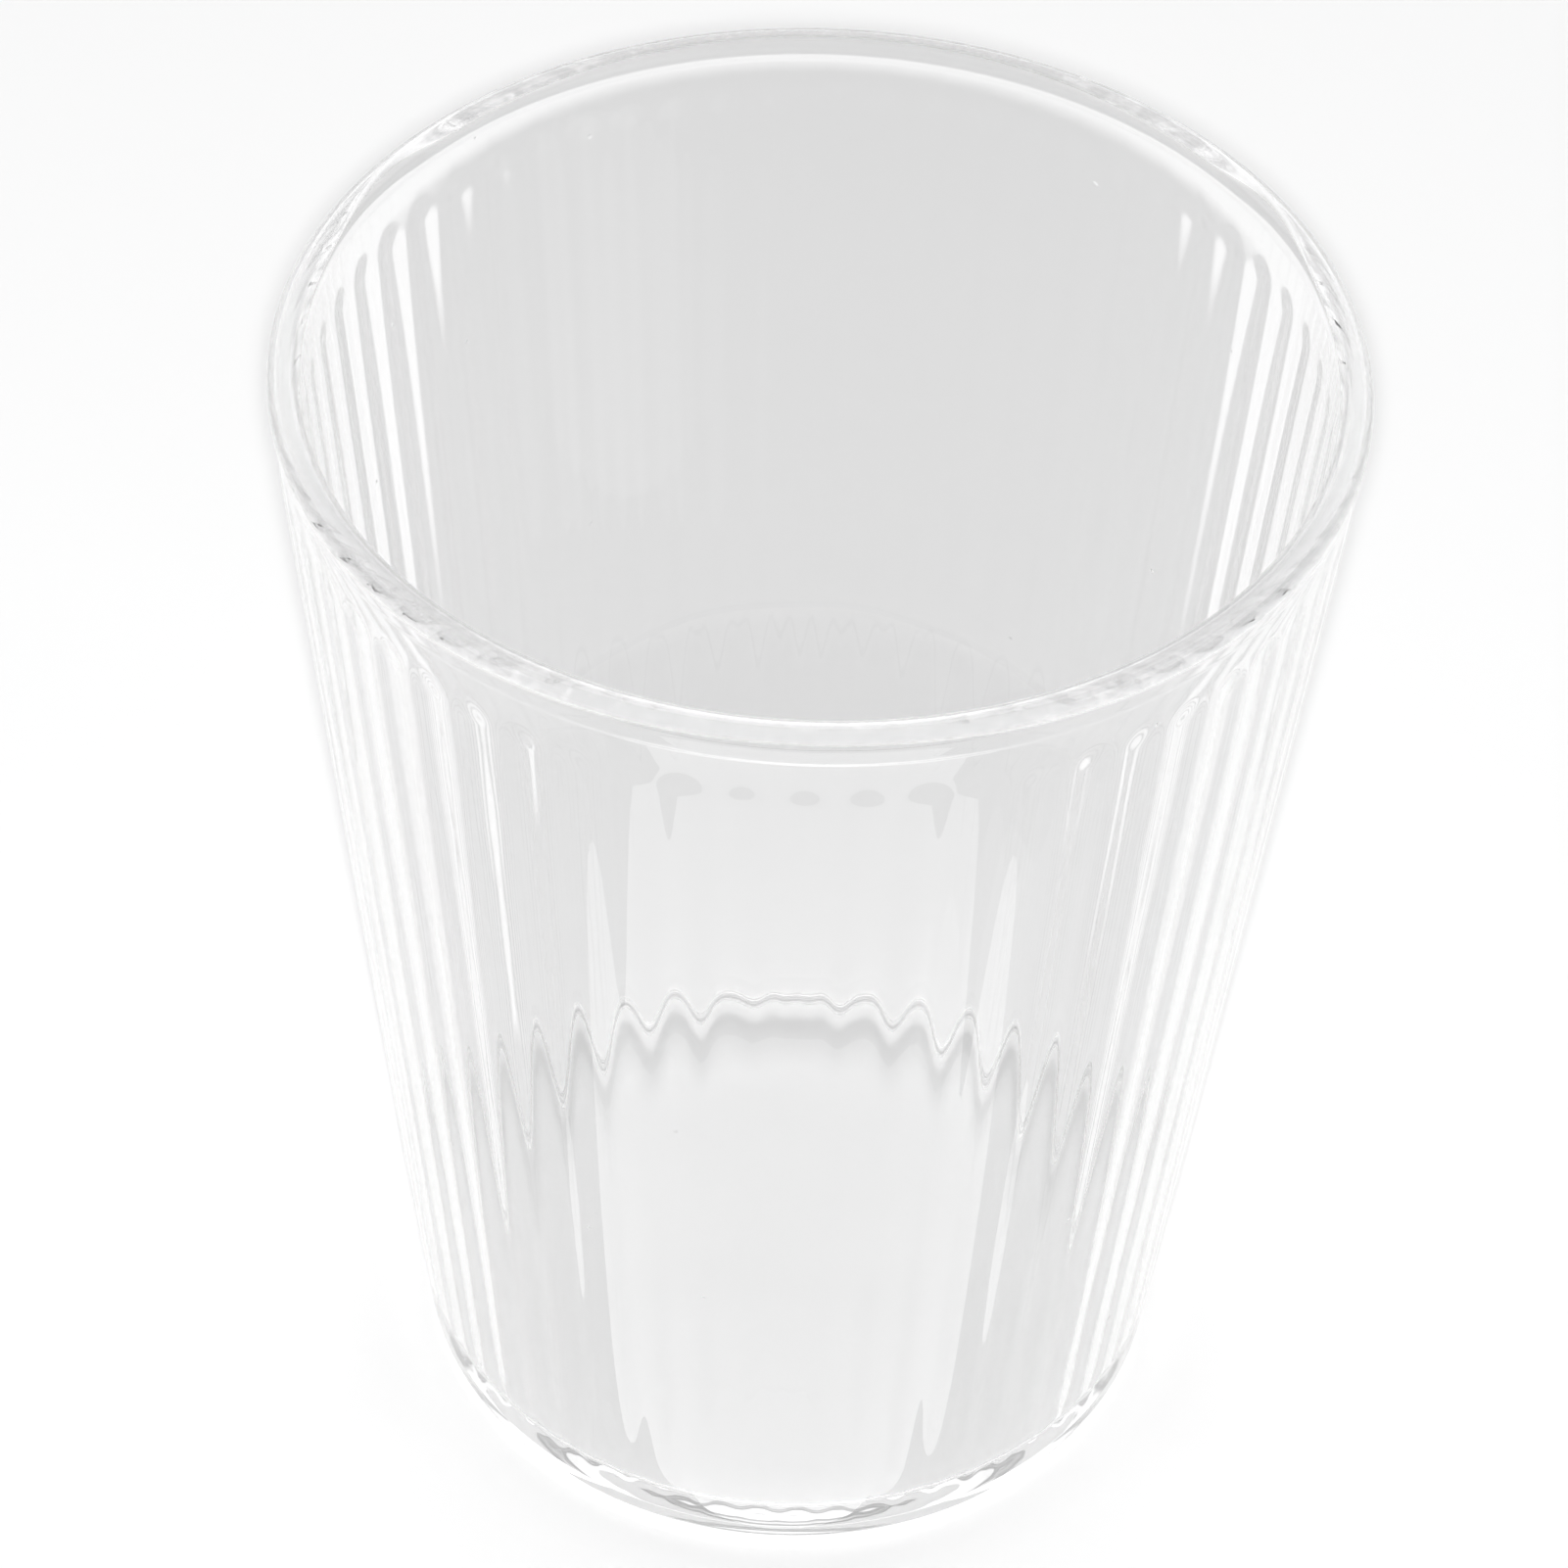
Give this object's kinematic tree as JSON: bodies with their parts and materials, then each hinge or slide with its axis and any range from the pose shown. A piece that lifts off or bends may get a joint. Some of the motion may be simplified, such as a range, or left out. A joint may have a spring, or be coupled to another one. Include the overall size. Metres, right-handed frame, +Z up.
{
  "type": "drinking glass",
  "caption": "Clear tapered drinking glass with upright ribs outside, a smooth inside, a round plain lip and a thick floor on a hollowed foot.",
  "frame": {"origin": "middle of the plane that the glass stands on", "axes": "+Z up along the glass's own axis, +X and +Y alike, since the glass is round"},
  "size_m": [0.08, 0.08, 0.101],
  "materials": {
    "clear_glass": "pressed and fire-polished, smooth"
  },
  "bodies": {
    "root": {"tumbler": "clear_glass"}
  },
  "joints": []
}
